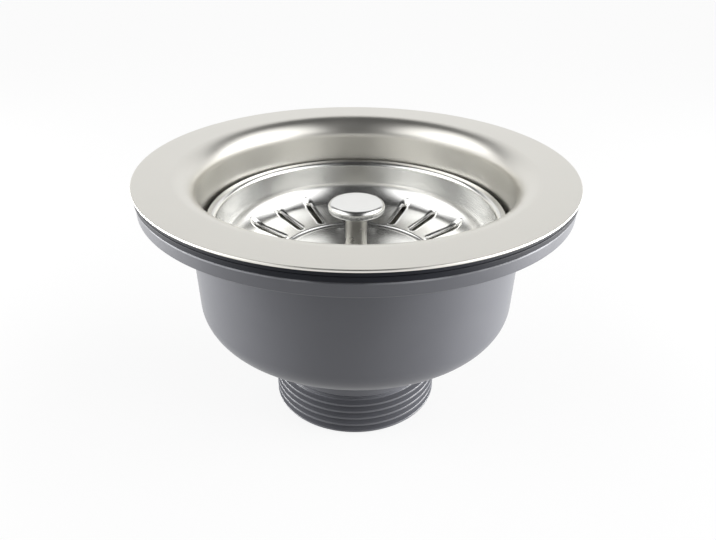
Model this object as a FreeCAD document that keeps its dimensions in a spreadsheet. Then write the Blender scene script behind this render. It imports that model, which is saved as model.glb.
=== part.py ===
import FreeCAD
import Part
import Sketcher
import os
import re

# Basket strainer waste for a kitchen sink, in millimetres.
# The origin is the middle of the outlet's end face, and +Z runs up the axis to the rim.
# Depths are measured down from the top of the rim.

SIZES = [
    # Rim and bowl, drawn from one stainless sheet
    ("overall_height", 71.0, "outlet end to top of rim"),
    ("rim_width", 15.2, "rim, from the bowl wall to its edge"),
    ("rim_sheet", 0.7, "thickness of the drawn sheet"),
    ("rim_edge_rounding", 0.25, "broken edge of the rim"),
    ("shoulder_rounding", 6.0, "roll from the rim into the bowl"),
    ("bowl_mouth_diameter", 83.6, "bowl wall at the top"),
    ("bowl_taper", 1.2, "how far the bowl wall draws in"),
    ("bowl_heel_depth", 29.1, "depth where the wall meets the cone"),
    ("bowl_heel_rounding", 6.0, "roll from the wall into the cone"),
    ("seat_diameter", 52.0, "edge that the stopper closes on"),
    ("cone_drop", 3.0, "fall of the cone to that edge"),
    ("seat_rounding", 1.2, "roll of that edge"),
    ("well_taper", 1.5, "how far the well draws in under the seat"),
    ("well_height", 8.5, "seat to the well's floor"),
    ("well_rounding", 2.0, "corner of the well"),
    ("drain_diameter", 8.4, "drain hole in the well"),
    ("drain_count", 6, "number of drain holes"),
    # Rubber rings
    ("gasket_inset", 0.4, "rubber rings in from the rim's edge"),
    ("gasket_clearance", 0.2, "rubber rings to the start of the roll"),
    ("gasket_rounding", 0.3, "soft edge of the rubber rings"),
    ("upper_gasket_thickness", 1.0, "ring over the sink"),
    ("lower_gasket_thickness", 1.4, "ring under the sink"),
    # Plastic body
    ("body_flange_inset", 0.7, "plastic flange in from the rim's edge"),
    ("body_flange_thickness", 3.5, "plastic flange"),
    ("body_flange_rounding", 0.4, "edges of the plastic flange"),
    ("body_clearance", 0.3, "plastic wall to the steel bowl"),
    ("body_wall", 1.7, "plastic wall"),
    ("body_mouth_rounding", 3.0, "lead-in at the plastic mouth"),
    ("body_taper", 1.1, "how far the plastic wall draws in"),
    ("body_floor_gap", 0.5, "steel well to the plastic floor"),
    ("body_foot_rounding", 8.4, "lower corner of the plastic body"),
    ("body_floor_thickness", 2.0, "plastic floor"),
    ("body_neck_rounding", 1.5, "corner between floor and outlet"),
    ("outlet_diameter", 47.8, "outlet thread, major diameter"),
    ("outlet_wall", 4.0, "outlet wall with its thread"),
    ("outlet_chamfer", 0.5, "lead-in of the outlet thread"),
    ("thread_length", 11.8, "threaded end of the outlet"),
    ("thread_relief_width", 1.6, "groove between the thread and the collar above it"),
    ("thread_relief_depth", 1.4, "depth of that groove"),
    ("boss_diameter", 21.6, "boss for the centre screw"),
    ("boss_length", 16.0, "boss, top to bottom"),
    ("spoke_count", 3, "spokes that carry the boss"),
    ("spoke_thickness", 3.0, "spoke, across"),
    ("spoke_height", 9.0, "spoke, top to bottom"),
    # Centre screw with its insert and washer
    ("screw_diameter", 12.0, "hollow screw, thread"),
    ("screw_length", 16.0, "hollow screw under its head"),
    ("screw_bore_diameter", 9.2, "bore that takes the catch peg"),
    ("screw_chamfer", 0.7, "end of the hollow screw"),
    ("screw_head_diameter", 18.0, "head of the hollow screw"),
    ("screw_head_height", 2.6, "head of the hollow screw"),
    ("screw_head_rounding", 0.8, "top edge of the head"),
    ("screw_slot_width", 2.2, "driver slot, across"),
    ("screw_slot_depth", 1.2, "driver slot, deep"),
    ("screw_clearance", 0.3, "clearance hole round the screw"),
    ("thread_clearance", 0.05, "screw to insert"),
    ("insert_diameter", 17.0, "brass insert"),
    ("insert_length", 12.0, "brass insert"),
    ("insert_cover", 1.7, "plastic over the insert"),
    ("insert_clearance", 0.03, "insert to its pocket"),
    ("insert_groove_width", 2.4, "grip groove round the insert"),
    ("insert_groove_depth", 0.7, "grip groove round the insert"),
    ("screw_washer_diameter", 20.0, "washer under the screw's head"),
    ("screw_washer_thickness", 0.8, "washer under the screw's head"),
    # Basket, drawn from thin polished sheet
    ("basket_sheet", 0.6, "thickness of the basket sheet"),
    ("basket_gap", 1.6, "basket lip to the bowl's mouth"),
    ("basket_lip_width", 2.5, "flat lip of the basket"),
    ("basket_lip_rounding", 1.4, "roll from the lip into the wall"),
    ("basket_wall_height", 11.2, "basket wall, heel to lip"),
    ("basket_taper", 1.1, "how far the basket wall draws in"),
    ("basket_heel_rounding", 7.0, "roll from the wall into the floor"),
    ("valley_diameter", 42.6, "valley round the crown of the floor"),
    ("floor_rise", 2.7, "step up to the basket's heel"),
    ("step_height", 0.7, "valley up to the edge of the floor"),
    ("step_width", 0.8, "valley out to the edge of the floor"),
    ("step_rounding", 0.8, "roll of the floor's edge"),
    ("valley_rounding", 1.6, "roll of the valley"),
    ("crown_diameter", 11.6, "flat of the crown"),
    ("crown_rise", 1.7, "valley up to the crown"),
    ("basket_slot_count", 20, "radial slots"),
    ("basket_slot_width", 3.0, "radial slot, across"),
    ("slot_inner_margin", 1.3, "valley to the inner ends of the slots"),
    ("slot_outer_margin", 1.8, "basket's heel to the outer ends of the slots"),
    # Post and knob
    ("knob_rise", 2.3, "knob's top over the basket lip"),
    ("knob_diameter", 15.4, "knob"),
    ("knob_disc_height", 2.2, "edge of the knob"),
    ("knob_height", 4.4, "knob with its cone"),
    ("knob_neck_diameter", 6.8, "foot of the cone"),
    ("knob_rounding", 0.7, "edge of the knob"),
    ("tenon_diameter", 4.0, "top of the post in the knob"),
    ("tenon_length", 2.6, "top of the post in the knob"),
    ("tenon_clearance", 0.03, "post to knob"),
    ("post_diameter", 6.0, "post"),
    ("post_foot_diameter", 9.6, "foot of the post"),
    ("post_foot_height", 0.9, "foot of the post"),
    ("post_flare", 1.7, "flare from the post into its foot"),
    ("spigot_diameter", 5.0, "lower end of the post"),
    ("spigot_clearance", 0.1, "holes round the spigot"),
    # Nut and washer under the basket
    ("stem_washer_diameter", 10.6, "washer under the basket"),
    ("stem_washer_thickness", 0.8, "washer under the basket"),
    ("nut_width", 8.0, "nut across its flats"),
    ("nut_height", 2.2, "nut"),
    # Stopper
    ("carrier_gap", 0.3, "basket to stopper"),
    ("carrier_inset", 4.0, "carrier's edge in from the seat"),
    ("carrier_upper_lip", 1.15, "carrier over the seal"),
    ("carrier_lower_lip", 1.05, "carrier under the seal"),
    ("carrier_rounding", 0.4, "edges of the carrier"),
    ("carrier_groove_depth", 2.0, "groove for the seal"),
    ("seal_overlap", 2.2, "seal out over the seat's edge"),
    ("seal_thickness", 2.0, "seal"),
    ("seal_rounding", 0.7, "lip of the seal"),
    ("seal_seat_gap", 0.3, "seal to its seat at rest"),
    ("seal_clearance", 0.05, "seal in its groove"),
    ("nut_pocket_clearance", 0.3, "carrier round the nut"),
    ("hub_diameter", 14.0, "hub of the carrier"),
    ("hub_length", 3.2, "hub under the carrier's disc"),
    ("swivel_clearance", 0.05, "carrier on the spigot"),
    ("swivel_length", 3.0, "carrier's bearing on the spigot"),
    ("swivel_play", 0.1, "end play of the carrier"),
    ("peg_diameter", 8.8, "catch peg"),
    ("peg_bore_diameter", 6.8, "hollow of the peg"),
    ("peg_length", 14.0, "peg under the hub"),
    ("peg_chamfer", 0.6, "tip of the peg"),
    ("peg_slot_width", 1.2, "slots between the fingers"),
    ("peg_slot_length", 9.0, "slots between the fingers"),
    # Small screw that keeps the carrier on the post
    ("retaining_washer_diameter", 6.4, "washer in the peg"),
    ("retaining_washer_thickness", 0.5, "washer in the peg"),
    ("retaining_head_diameter", 5.6, "head of the small screw"),
    ("retaining_head_height", 1.8, "head of the small screw"),
    ("retaining_head_rounding", 0.5, "head of the small screw"),
    ("retaining_screw_diameter", 3.0, "small screw"),
    ("retaining_screw_length", 8.0, "small screw under its head"),
    ("retaining_hole_spare", 0.8, "tapped hole beyond the screw"),
    ("retaining_drive_width", 1.0, "slot of the small screw"),
    ("retaining_drive_depth", 0.8, "slot of the small screw"),
    ("cut_overrun", 1.0, "how far cuts run past a face"),
]

# Heights and radii that follow from the sizes above
RIM_TOP = "overall_height"
RIM_UNDER = "(overall_height - rim_sheet)"
MOUTH = "(bowl_mouth_diameter / 2)"
RIM = "(" + MOUTH + " + rim_width)"
HEEL = "(" + MOUTH + " - bowl_taper)"
HEEL_LEVEL = "(overall_height - bowl_heel_depth)"
SEAT = "(seat_diameter / 2)"
SEAT_LEVEL = "(" + HEEL_LEVEL + " - cone_drop)"
WELL = "(" + SEAT + " - well_taper)"
WELL_FLOOR = "(" + SEAT_LEVEL + " - well_height)"
WELL_UNDER = "(" + WELL_FLOOR + " - rim_sheet)"
SCREW_HOLE = "(screw_diameter / 2 + screw_clearance)"
GASKET = "(" + RIM + " - gasket_inset)"
GASKET_INNER = "(" + MOUTH + " + shoulder_rounding + gasket_clearance)"
GASKET_SEAM = "(overall_height - rim_sheet - upper_gasket_thickness)"
BODY_TOP = "(overall_height - rim_sheet - upper_gasket_thickness - lower_gasket_thickness)"
BODY_FLANGE = "(" + RIM + " - body_flange_inset)"
BODY_FLANGE_UNDER = "(" + BODY_TOP + " - body_flange_thickness)"
BODY_INNER = "(" + MOUTH + " + rim_sheet + body_clearance)"
BODY_OUTER = "(" + BODY_INNER + " + body_wall)"
BODY_FOOT = "(" + BODY_OUTER + " - body_taper)"
BODY_FLOOR = "(" + WELL_UNDER + " - body_floor_gap)"
BODY_UNDER = "(" + BODY_FLOOR + " - body_floor_thickness)"
OUTLET = "(outlet_diameter / 2)"
OUTLET_BORE = "(outlet_diameter / 2 - outlet_wall)"
THREAD_RELIEF = "(outlet_diameter / 2 - thread_relief_depth)"
COLLAR_UNDER = "(thread_length + thread_relief_width)"
BOSS ="(boss_diameter / 2)"
BOSS_WALL = "((insert_diameter + boss_diameter) / 4)"
BOSS_BOTTOM = "(" + WELL_UNDER + " - boss_length)"
INSERT_TOP = "(" + WELL_UNDER + " - insert_cover)"
INSERT_BOTTOM = "(" + INSERT_TOP + " - insert_length)"
HEAD_UNDER = "(" + WELL_FLOOR + " + screw_washer_thickness)"
HEAD_TOP = "(" + HEAD_UNDER + " + screw_head_height)"
SCREW_END = "(" + HEAD_UNDER + " - screw_length)"
SEAL = "(" + SEAT + " + seal_overlap)"
SEAL_BOTTOM = "(" + SEAT_LEVEL + " + seal_overlap * cone_drop / (" + HEEL + " - " + SEAT + ") + seal_seat_gap)"
SEAL_TOP = "(" + SEAL_BOTTOM + " + seal_thickness)"
CARRIER = "(" + SEAT + " - carrier_inset)"
CARRIER_TOP = "(" + SEAL_TOP + " + carrier_upper_lip)"
CARRIER_BOTTOM = "(" + SEAL_BOTTOM + " - carrier_lower_lip)"
VALLEY = "(" + CARRIER_TOP + " + carrier_gap + basket_sheet)"
CROWN = "(" + VALLEY + " + crown_rise)"
CROWN_UNDER = "(" + CROWN + " - basket_sheet)"
STEP = "(valley_diameter / 2 + step_width)"
STEP_LEVEL = "(" + VALLEY + " + step_height)"
BASKET_HEEL_LEVEL = "(" + STEP_LEVEL + " + floor_rise)"
BASKET_LIP = "(" + BASKET_HEEL_LEVEL + " + basket_wall_height)"
BASKET_RIM = "(" + MOUTH + " - basket_gap)"
BASKET_MOUTH = "(" + BASKET_RIM + " - basket_lip_width)"
BASKET_HEEL = "(" + BASKET_MOUTH + " - basket_taper)"
SPIGOT = "(spigot_diameter / 2)"
SPIGOT_HOLE = "(spigot_diameter / 2 + spigot_clearance)"
KNOB_TOP = "(" + BASKET_LIP + " + knob_rise)"
KNOB_FOOT = "(" + KNOB_TOP + " - knob_height)"
NUT_TOP = "(" + CROWN_UNDER + " - stem_washer_thickness)"
NUT_BOTTOM = "(" + NUT_TOP + " - nut_height)"
POCKET_FLOOR = "(" + NUT_BOTTOM + " - nut_pocket_clearance)"
POCKET = "(nut_width / sqrt(3) + nut_pocket_clearance)"
SWIVEL_END = "(" + POCKET_FLOOR + " - swivel_length)"
SPIGOT_END = "(" + SWIVEL_END + " - swivel_play)"
HUB_BOTTOM = "(" + CARRIER_BOTTOM + " - hub_length)"
PEG_END = "(" + HUB_BOTTOM + " - peg_length)"

PLACE_TOLERANCE = 1e-4

doc = FreeCAD.newDocument("BasketStrainerWaste")
sheet = doc.addObject("Spreadsheet::Sheet", "Sizes")
for row, (alias, amount, meaning) in enumerate(SIZES, start=1):
    sheet.set("A%d" % row, meaning)
    sheet.set("B%d" % row, str(amount))
    sheet.setAlias("B%d" % row, alias)
doc.recompute()
ALIASES = {alias for alias, amount, meaning in SIZES}
pieces = []


def bound(expression):
    """The expression with each size's name pointed at its cell."""
    def cell(word):
        return "Sizes." + word.group(0) if word.group(0) in ALIASES else word.group(0)
    return re.sub(r"[a-z_]+", cell, expression)


def number(expression):
    """What the expression comes to now."""
    answer = sheet.evalExpression(bound(expression))
    return float(getattr(answer, "Value", answer))


def new_body(label):
    """An empty body that becomes one piece."""
    body = doc.addObject("PartDesign::Body", label)
    body.Label = label
    pieces.append(body)
    return body


def origin_feature(body, role):
    """One of the body's own planes or axes."""
    return [feature for feature in body.Origin.OriginFeatures if feature.Role == role][0]


def new_sketch(body, name, plane, lift=None):
    """A sketch on one of the body's planes, lifted off it where asked."""
    sketch = body.newObject("Sketcher::SketchObject", name)
    sketch.AttachmentSupport = (origin_feature(body, plane), "")
    sketch.MapMode = "FlatFace"
    if lift is not None:
        sketch.setExpression("AttachmentOffset.Base.z", bound(lift))
    return sketch


def place_point(sketch, curve, point, across, up):
    """Pins one point of the sketch to the two expressions."""
    for kind, axis, expression in (("DistanceX", -2, across), ("DistanceY", -1, up)):
        if expression == "0":
            sketch.addConstraint(Sketcher.Constraint("PointOnObject", curve, point, axis))
            continue
        index = sketch.addConstraint(Sketcher.Constraint(kind, -1, 1, curve, point, number(expression)))
        sketch.setExpression("Constraints[%d]" % index, bound(expression))


def outline(body, name, plane, corners, lift=None):
    """A closed outline of straight lines through the corners."""
    sketch = new_sketch(body, name, plane, lift)
    spots = [FreeCAD.Vector(number(across), number(up), 0) for across, up in corners]
    for index, spot in enumerate(spots):
        sketch.addGeometry(Part.LineSegment(spot, spots[(index + 1) % len(spots)]), False)
    for index in range(len(spots)):
        following = (index + 1) % len(spots)
        sketch.addConstraint(Sketcher.Constraint("Coincident", index, 2, following, 1))
    for index, (across, up) in enumerate(corners):
        place_point(sketch, index, 1, across, up)
    return sketch


def disc_outline(body, name, centre, radius, lift=None):
    """A circle on the level plane with its centre on the X axis."""
    sketch = new_sketch(body, name, "XY_Plane", lift)
    middle = FreeCAD.Vector(number(centre), 0, 0)
    sketch.addGeometry(Part.Circle(middle, FreeCAD.Vector(0, 0, 1), number(radius)), False)
    place_point(sketch, 0, 3, centre, "0")
    index = sketch.addConstraint(Sketcher.Constraint("Radius", 0, number(radius)))
    sketch.setExpression("Constraints[%d]" % index, bound(radius))
    return sketch


def slot_outline(body, name, inner, outer, width):
    """A round-ended slot along the X axis, from the inner to the outer radius."""
    sketch = new_sketch(body, name, "XY_Plane")
    half = "(" + width + " / 2)"
    near = "(" + inner + " + " + half + ")"
    far = "(" + outer + " - " + half + ")"
    start = FreeCAD.Vector(number(near), 0, 0)
    end = FreeCAD.Vector(number(far), 0, 0)
    side = FreeCAD.Vector(0, number(half), 0)
    upright = FreeCAD.Vector(0, 0, 1)
    quarter = FreeCAD.Units.Quantity("90 deg").getValueAs("rad").Value
    sketch.addGeometry(Part.LineSegment(start + side, end + side), False)
    sketch.addGeometry(Part.LineSegment(end - side, start - side), False)
    sketch.addGeometry(Part.ArcOfCircle(Part.Circle(end, upright, number(half)), -quarter, quarter), False)
    sketch.addGeometry(Part.ArcOfCircle(Part.Circle(start, upright, number(half)), quarter, 3 * quarter), False)
    place_point(sketch, 2, 3, far, "0")
    place_point(sketch, 3, 3, near, "0")
    for arc in (2, 3):
        index = sketch.addConstraint(Sketcher.Constraint("Radius", arc, number(half)))
        sketch.setExpression("Constraints[%d]" % index, bound(half))
    for line, line_end, arc, arc_end in ((0, 2, 2, 2), (1, 1, 2, 1), (1, 2, 3, 2), (0, 1, 3, 1)):
        sketch.addConstraint(Sketcher.Constraint("Tangent", line, line_end, arc, arc_end))
    return sketch


def turn(body, sketch, name):
    """Turns the outline once round the Z axis."""
    turned = body.newObject("PartDesign::Revolution", name)
    turned.Profile = sketch
    turned.ReferenceAxis = (sketch, ["V_Axis"])
    doc.recompute()
    return turned


def turned_piece(label, corners):
    """A body turned from one outline of radius and height pairs."""
    body = new_body(label)
    turn(body, outline(body, label + "_outline", "XZ_Plane", corners), label + "_turned")
    return body


def ring_edges(shape, rings):
    """Names of the circular edges at the given radius and height pairs."""
    names = []
    for radius, height in rings:
        wanted = (number(radius), number(height))
        found = []
        for index, edge in enumerate(shape.Edges, start=1):
            if not isinstance(edge.Curve, Part.Circle):
                continue
            offset = abs(edge.Curve.Radius - wanted[0]) + abs(edge.Curve.Center.z - wanted[1])
            if offset < PLACE_TOLERANCE:
                found.append("Edge%d" % index)
        if not found:
            raise RuntimeError("no edge at radius %s, height %s" % (radius, height))
        names += found
    return names


def soften(body, name, size, rings, kind="PartDesign::Fillet"):
    """Rounds or chamfers circular edges by one size."""
    base = body.Tip
    names = ring_edges(base.Shape, rings)
    feature = body.newObject(kind, name)
    feature.Base = (base, names)
    feature.setExpression("Radius" if kind == "PartDesign::Fillet" else "Size", bound(size))
    doc.recompute()
    return feature


def cut(body, sketch, name, both_ways=False):
    """Cuts the outline right through, one way or both, and makes sure that it met the piece."""
    before = body.Tip.Shape.Volume
    pocket = body.newObject("PartDesign::Pocket", name)
    pocket.Profile = sketch
    pocket.Reversed = not both_ways
    pocket.Midplane = both_ways
    pocket.Type = "ThroughAll"
    doc.recompute()
    if before - pocket.Shape.Volume < PLACE_TOLERANCE:
        raise RuntimeError(name + " cuts nothing")
    return pocket


def repeat(body, features, name, count, angle=None):
    """Repeats features round the Z axis."""
    pattern = body.newObject("PartDesign::PolarPattern", name)
    pattern.Originals = features
    pattern.Axis = (origin_feature(body, "Z_Axis"), [""])
    if angle is not None:
        pattern.Angle = angle
    if isinstance(count, str):
        pattern.setExpression("Occurrences", bound(count))
    else:
        pattern.Occurrences = count
    body.Tip = pattern
    doc.recompute()
    return pattern


def turn_half_step(body, count):
    """Stands the piece half a step of its pattern round the Z axis."""
    step = FreeCAD.Rotation(FreeCAD.Vector(0, 0, 1), number("180 / " + count))
    body.Placement = FreeCAD.Placement(FreeCAD.Vector(0, 0, 0), step)


def ring_corners(inner, outer, bottom, top):
    """Corners of a plain ring's section."""
    return [(inner, bottom), (outer, bottom), (outer, top), (inner, top)]


# Rim and bowl: a deep-drawn sheet with a rolled shoulder, a cone down to the seat and a pierced well
flange = turned_piece("sink_flange", [
    (RIM, RIM_TOP),
    (MOUTH, RIM_TOP),
    (HEEL, HEEL_LEVEL),
    (SEAT, SEAT_LEVEL),
    (WELL, WELL_FLOOR),
    (SCREW_HOLE, WELL_FLOOR),
    (SCREW_HOLE, WELL_UNDER),
    (WELL + " + rim_sheet", WELL_UNDER),
    (SEAT + " + rim_sheet", SEAT_LEVEL + " - rim_sheet"),
    (HEEL + " + rim_sheet", HEEL_LEVEL + " - rim_sheet"),
    (MOUTH + " + rim_sheet", RIM_UNDER),
    (RIM, RIM_UNDER),
])
soften(flange, "shoulder_top", "shoulder_rounding", [(MOUTH, RIM_TOP)])
soften(flange, "shoulder_under", "shoulder_rounding - rim_sheet", [(MOUTH + " + rim_sheet", RIM_UNDER)])
soften(flange, "heel_inside", "bowl_heel_rounding", [(HEEL, HEEL_LEVEL)])
soften(flange, "heel_outside", "bowl_heel_rounding + rim_sheet",
       [(HEEL + " + rim_sheet", HEEL_LEVEL + " - rim_sheet")])
soften(flange, "seat_roll", "seat_rounding", [(SEAT, SEAT_LEVEL)])
soften(flange, "seat_under", "seat_rounding - rim_sheet",
       [(SEAT + " + rim_sheet", SEAT_LEVEL + " - rim_sheet")])
soften(flange, "well_inside", "well_rounding", [(WELL, WELL_FLOOR)])
soften(flange, "well_outside", "well_rounding + rim_sheet", [(WELL + " + rim_sheet", WELL_UNDER)])
soften(flange, "rim_edge", "rim_edge_rounding", [(RIM, RIM_TOP), (RIM, RIM_UNDER)])
drain = disc_outline(flange, "drain_outline", "(boss_diameter / 4 + " + OUTLET_BORE + " / 2)",
                     "drain_diameter / 2")
repeat(flange, [cut(flange, drain, "drain_hole")], "drain_holes", "drain_count")
# The holes fall between the spokes that stand under them
turn_half_step(flange, "drain_count")

# Rubber rings: one lies over the sink and one under it
upper = turned_piece("upper_gasket", ring_corners(GASKET_INNER, GASKET, GASKET_SEAM, RIM_UNDER))
soften(upper, "upper_gasket_edge", "gasket_rounding", [(GASKET, GASKET_SEAM)])
lower = turned_piece("lower_gasket", ring_corners(GASKET_INNER, GASKET, BODY_TOP, GASKET_SEAM))
soften(lower, "lower_gasket_edge", "gasket_rounding", [(GASKET, GASKET_SEAM),
                                                       (GASKET, BODY_TOP)])

# Plastic body: flange, tapered bowl, outlet, and a spider that carries the screw boss
waste = turned_piece("waste_body", [
    (BODY_INNER, BODY_TOP),
    (BODY_FLANGE, BODY_TOP),
    (BODY_FLANGE, BODY_FLANGE_UNDER),
    (BODY_OUTER, BODY_FLANGE_UNDER),
    (BODY_FOOT, BODY_UNDER),
    (OUTLET, BODY_UNDER),
    (OUTLET, COLLAR_UNDER),
    (THREAD_RELIEF, COLLAR_UNDER),
    (THREAD_RELIEF, "thread_length"),
    (OUTLET, "thread_length"),
    (OUTLET, "0"),
    (OUTLET_BORE, "0"),
    (OUTLET_BORE, BODY_FLOOR),
    (BODY_FOOT + " - body_wall", BODY_FLOOR),
])
soften(waste, "body_mouth", "body_mouth_rounding", [(BODY_INNER, BODY_TOP)])
soften(waste, "foot_outside", "body_foot_rounding", [(BODY_FOOT, BODY_UNDER)])
soften(waste, "foot_inside", "body_foot_rounding - body_wall", [(BODY_FOOT + " - body_wall", BODY_FLOOR)])
soften(waste, "neck_corner", "body_neck_rounding", [(OUTLET, BODY_UNDER)])
soften(waste, "body_flange_edges", "body_flange_rounding", [(BODY_FLANGE, BODY_TOP),
                                                            (BODY_FLANGE, BODY_FLANGE_UNDER)])
soften(waste, "outlet_lead_in", "outlet_chamfer", [(OUTLET, "0")], "PartDesign::Chamfer")
spoke = waste.newObject("PartDesign::Pad", "spoke")
spoke.Profile = outline(waste, "spoke_outline", "XY_Plane", [
    (BOSS_WALL, "-spoke_thickness / 2"),
    (OUTLET_BORE + " + outlet_wall / 2", "-spoke_thickness / 2"),
    (OUTLET_BORE + " + outlet_wall / 2", "spoke_thickness / 2"),
    (BOSS_WALL, "spoke_thickness / 2"),
], BODY_FLOOR + " - spoke_height")
spoke.setExpression("Length", bound("spoke_height"))
doc.recompute()
repeat(waste, [spoke], "spokes", "spoke_count")
turn(waste, outline(waste, "boss_outline", "XZ_Plane", [
    (SCREW_HOLE, WELL_UNDER),
    (BOSS, WELL_UNDER),
    (BOSS, BOSS_BOTTOM),
    ("insert_diameter / 2 + insert_clearance", BOSS_BOTTOM),
    ("insert_diameter / 2 + insert_clearance", INSERT_TOP),
    (SCREW_HOLE, INSERT_TOP),
]), "boss")

# Brass insert: pressed up into the boss against its shoulder, with a grip groove round it
insert_groove = "(insert_diameter / 2 - insert_groove_depth)"
insert_middle = "(" + INSERT_TOP + " - insert_length / 2)"
turned_piece("threaded_insert", [
    ("screw_diameter / 2 + thread_clearance", INSERT_TOP),
    ("insert_diameter / 2", INSERT_TOP),
    ("insert_diameter / 2", insert_middle + " + insert_groove_width / 2"),
    (insert_groove, insert_middle + " + insert_groove_width / 2"),
    (insert_groove, insert_middle + " - insert_groove_width / 2"),
    ("insert_diameter / 2", insert_middle + " - insert_groove_width / 2"),
    ("insert_diameter / 2", INSERT_BOTTOM),
    ("screw_diameter / 2 + thread_clearance", INSERT_BOTTOM),
])

# Hollow screw: clamps the bowl to the boss, and its bore takes the catch peg
screw = turned_piece("hollow_screw", [
    ("screw_bore_diameter / 2", HEAD_TOP),
    ("screw_head_diameter / 2", HEAD_TOP),
    ("screw_head_diameter / 2", HEAD_UNDER),
    ("screw_diameter / 2", HEAD_UNDER),
    ("screw_diameter / 2", SCREW_END),
    ("screw_bore_diameter / 2", SCREW_END),
])
soften(screw, "head_roll", "screw_head_rounding", [("screw_head_diameter / 2", HEAD_TOP)])
soften(screw, "screw_tip", "screw_chamfer", [("screw_diameter / 2", SCREW_END)], "PartDesign::Chamfer")
driver_slot = outline(screw, "driver_slot_outline", "XZ_Plane", [
    ("-screw_slot_width / 2", HEAD_TOP + " - screw_slot_depth"),
    ("screw_slot_width / 2", HEAD_TOP + " - screw_slot_depth"),
    ("screw_slot_width / 2", HEAD_TOP + " + cut_overrun"),
    ("-screw_slot_width / 2", HEAD_TOP + " + cut_overrun"),
])
cut(screw, driver_slot, "driver_slot", True)
turned_piece("screw_washer", ring_corners(SCREW_HOLE, "screw_washer_diameter / 2", WELL_FLOOR, HEAD_UNDER))

# Basket: a shallow drawn dish with a flat lip, a stepped valley round its crown and radial slots
shell = turned_piece("basket_shell", [
    (BASKET_RIM, BASKET_LIP),
    (BASKET_MOUTH, BASKET_LIP),
    (BASKET_HEEL, BASKET_HEEL_LEVEL),
    (STEP, STEP_LEVEL),
    ("valley_diameter / 2", VALLEY),
    ("crown_diameter / 2", CROWN),
    (SPIGOT_HOLE, CROWN),
    (SPIGOT_HOLE, CROWN_UNDER),
    ("crown_diameter / 2", CROWN_UNDER),
    ("valley_diameter / 2", VALLEY + " - basket_sheet"),
    (STEP + " + basket_sheet / 3", STEP_LEVEL + " - basket_sheet"),
    (BASKET_HEEL + " + basket_sheet", BASKET_HEEL_LEVEL + " - basket_sheet"),
    (BASKET_MOUTH + " + basket_sheet", BASKET_LIP + " - basket_sheet"),
    (BASKET_RIM, BASKET_LIP + " - basket_sheet"),
])
soften(shell, "lip_top", "basket_lip_rounding", [(BASKET_MOUTH, BASKET_LIP)])
soften(shell, "lip_under", "basket_lip_rounding - basket_sheet",
       [(BASKET_MOUTH + " + basket_sheet", BASKET_LIP + " - basket_sheet")])
soften(shell, "basket_heel_inside", "basket_heel_rounding", [(BASKET_HEEL, BASKET_HEEL_LEVEL)])
soften(shell, "basket_heel_outside", "basket_heel_rounding + basket_sheet",
       [(BASKET_HEEL + " + basket_sheet", BASKET_HEEL_LEVEL + " - basket_sheet")])
soften(shell, "step_top", "step_rounding", [(STEP, STEP_LEVEL)])
soften(shell, "valley_top", "valley_rounding", [("valley_diameter / 2", VALLEY)])
soften(shell, "valley_under", "valley_rounding + basket_sheet / 2",
       [("valley_diameter / 2", VALLEY + " - basket_sheet")])
radial_slot = slot_outline(shell, "slot_outline", "valley_diameter / 2 + slot_inner_margin",
                           BASKET_HEEL + " - slot_outer_margin", "basket_slot_width")
repeat(shell, [cut(shell, radial_slot, "slot")], "slots", "basket_slot_count")
# A bar of the floor, not a slot, points straight at the front
turn_half_step(shell, "basket_slot_count")

# Post: its tenon holds the knob, its foot stands on the crown and its spigot carries the stopper
tapped_end = "(" + SPIGOT_END + " + retaining_screw_length + retaining_hole_spare)"
stem = turned_piece("basket_stem", [
    ("0", KNOB_FOOT + " + tenon_length"),
    ("tenon_diameter / 2", KNOB_FOOT + " + tenon_length"),
    ("tenon_diameter / 2", KNOB_FOOT),
    ("post_diameter / 2", KNOB_FOOT),
    ("post_diameter / 2", CROWN + " + post_foot_height"),
    ("post_foot_diameter / 2", CROWN + " + post_foot_height"),
    ("post_foot_diameter / 2", CROWN),
    (SPIGOT, CROWN),
    (SPIGOT, SPIGOT_END),
    ("retaining_screw_diameter / 2 + thread_clearance", SPIGOT_END),
    ("retaining_screw_diameter / 2 + thread_clearance", tapped_end),
    ("0", tapped_end),
])
soften(stem, "flare", "post_flare", [("post_diameter / 2", CROWN + " + post_foot_height")])

# Knob: a flat disc on a short cone, pressed on the tenon
knob_disc_under = "(" + KNOB_TOP + " - knob_disc_height)"
tenon_hole = "(tenon_diameter / 2 + tenon_clearance)"
tenon_hole_top = "(" + KNOB_FOOT + " + tenon_length + tenon_clearance)"
knob = turned_piece("pull_knob", [
    ("0", KNOB_TOP),
    ("knob_diameter / 2", KNOB_TOP),
    ("knob_diameter / 2", knob_disc_under),
    ("knob_neck_diameter / 2", KNOB_FOOT),
    (tenon_hole, KNOB_FOOT),
    (tenon_hole, tenon_hole_top),
    ("0", tenon_hole_top),
])
soften(knob, "knob_edge", "knob_rounding",
       [("knob_diameter / 2", KNOB_TOP), ("knob_diameter / 2", knob_disc_under)])

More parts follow.
